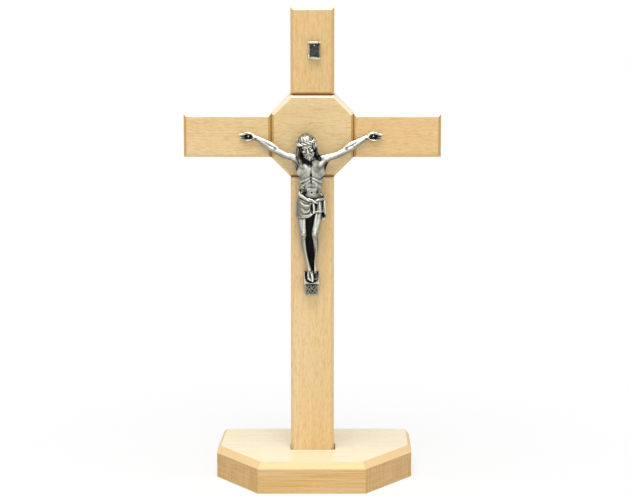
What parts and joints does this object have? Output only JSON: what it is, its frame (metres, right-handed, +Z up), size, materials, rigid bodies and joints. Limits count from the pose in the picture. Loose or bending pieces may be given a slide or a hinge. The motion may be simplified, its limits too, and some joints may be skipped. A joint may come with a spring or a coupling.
{
  "type": "standing crucifix",
  "caption": "Standing wooden cross with an octagonal centre, chamfered arms and a slotted base block, carrying a cast antique silver figure and a small bare scroll.",
  "frame": {"origin": "middle of the base's underside", "axes": "+Z up, the figure faces -Y, +X to the viewer's right along the arms"},
  "size_m": [0.159, 0.0842, 0.2995],
  "materials": {
    "beech": "clear satin varnish on pale beech",
    "dowel_wood": "bare beech",
    "antique_silver": "antique silver, bright relief and blackened recesses",
    "nail_steel": "bright steel"
  },
  "bodies": {
    "base": {"base_block": "beech"},
    "cross": {"lower_beam": "beech", "upper_arm": "beech", "left_arm": "beech", "right_arm": "beech", "centre_octagon": "beech", "upper_dowels": "dowel_wood", "lower_dowels": "dowel_wood", "left_dowels": "dowel_wood", "right_dowels": "dowel_wood", "corpus": "antique_silver", "titulus_scroll": "antique_silver", "titulus_nail": "nail_steel", "left_hand_nail": "nail_steel", "right_hand_nail": "nail_steel", "foot_nail": "nail_steel"}
  },
  "joints": [
    {"name": "cross_lift", "type": "slide", "parent": "base", "child": "cross", "axis": [0, 0, 1], "range_m": [0, 0.03]}
  ]
}
